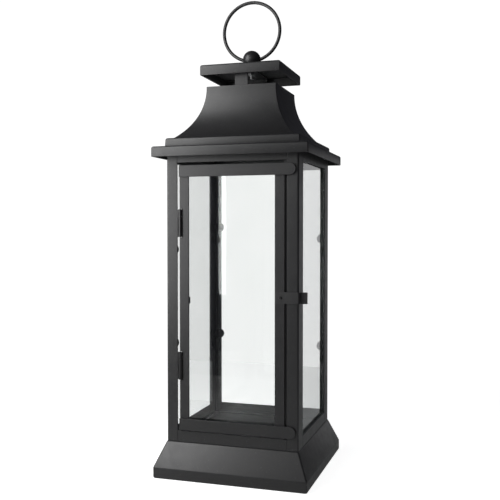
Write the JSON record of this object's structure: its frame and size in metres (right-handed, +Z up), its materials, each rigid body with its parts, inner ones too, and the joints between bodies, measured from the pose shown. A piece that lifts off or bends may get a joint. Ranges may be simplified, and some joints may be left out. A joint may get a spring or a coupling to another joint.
{
  "type": "candle lantern",
  "caption": "Square metal candle lantern with glazed sides, a hinged glass door with a clasp, a flared base, a curved roof with a raised vent cap, and a swinging ring handle.",
  "frame": {"origin": "middle of the rectangle that the base stands on, at floor level", "axes": "+Z up; -Y is the front, where the door is; +X is to the viewer's right, the latch side of the door"},
  "size_m": [0.1614, 0.1614, 0.4943],
  "materials": {
    "black_paint": "satin powder coat, charcoal black",
    "black_hardware": "semi-gloss black paint",
    "clear_glass": "clear float glass with a faint green edge",
    "zinc_steel": "bright zinc plate"
  },
  "bodies": {
    "lantern_frame": {"ball_knob": "black_paint", "base_skirt": "black_paint", "cap_pan": "black_paint", "cap_strap": "black_paint", "clip_left_pane_front_lower": "black_hardware", "clip_left_pane_front_upper": "black_hardware", "clip_left_pane_rear_lower": "black_hardware", "clip_left_pane_rear_upper": "black_hardware", "clip_rear_pane_left_lower": "black_hardware", "clip_rear_pane_left_upper": "black_hardware", "clip_rear_pane_right_lower": "black_hardware", "clip_rear_pane_right_upper": "black_hardware", "clip_right_pane_front_lower": "black_hardware", "clip_right_pane_front_upper": "black_hardware", "clip_right_pane_rear_lower": "black_hardware", "clip_right_pane_rear_upper": "black_hardware", "eave_tray": "black_paint", "head_rail_front": "black_paint", "head_rail_left": "black_paint", "head_rail_rear": "black_paint", "head_rail_right": "black_paint", "hinge_lower_pin": "black_hardware", "hinge_lower_post_leaf": "black_hardware", "hinge_upper_pin": "black_hardware", "hinge_upper_post_leaf": "black_hardware", "knob_stud": "zinc_steel", "latch_stop": "black_paint", "pane_left": "clear_glass", "pane_rear": "clear_glass", "pane_right": "clear_glass", "post_front_left": "black_paint", "post_front_right": "black_paint", "post_rear_left": "black_paint", "post_rear_right": "black_paint", "roof_shell": "black_paint", "sill_rail_front": "black_paint", "sill_rail_left": "black_paint", "sill_rail_rear": "black_paint", "sill_rail_right": "black_paint", "stud_nut": "zinc_steel"},
    "door": {"clasp_rivet": "black_hardware", "clasp_strip": "black_paint", "door_pane": "clear_glass", "door_rail_bottom": "black_paint", "door_rail_top": "black_paint", "door_stile_hinge": "black_paint", "door_stile_latch": "black_paint", "door_tab_hinge_middle": "black_hardware", "door_tab_latch_lower": "black_hardware", "door_tab_latch_middle": "black_hardware", "door_tab_latch_upper": "black_hardware", "hinge_lower_door_leaf": "black_hardware", "hinge_upper_door_leaf": "black_hardware"},
    "ring": {"handle_ring": "black_paint"}
  },
  "joints": [
    {"name": "door_hinge", "type": "hinge", "parent": "lantern_frame", "child": "door", "pos_m": [-0.0536, -0.0695, 0.1859], "axis": [0, 0, -1], "range_deg": [0, 150]},
    {"name": "ring_swing", "type": "hinge", "parent": "lantern_frame", "child": "ring", "pos_m": [0, 0, 0.4315], "axis": [1, 0, 0], "range_deg": [-101, 101]}
  ]
}
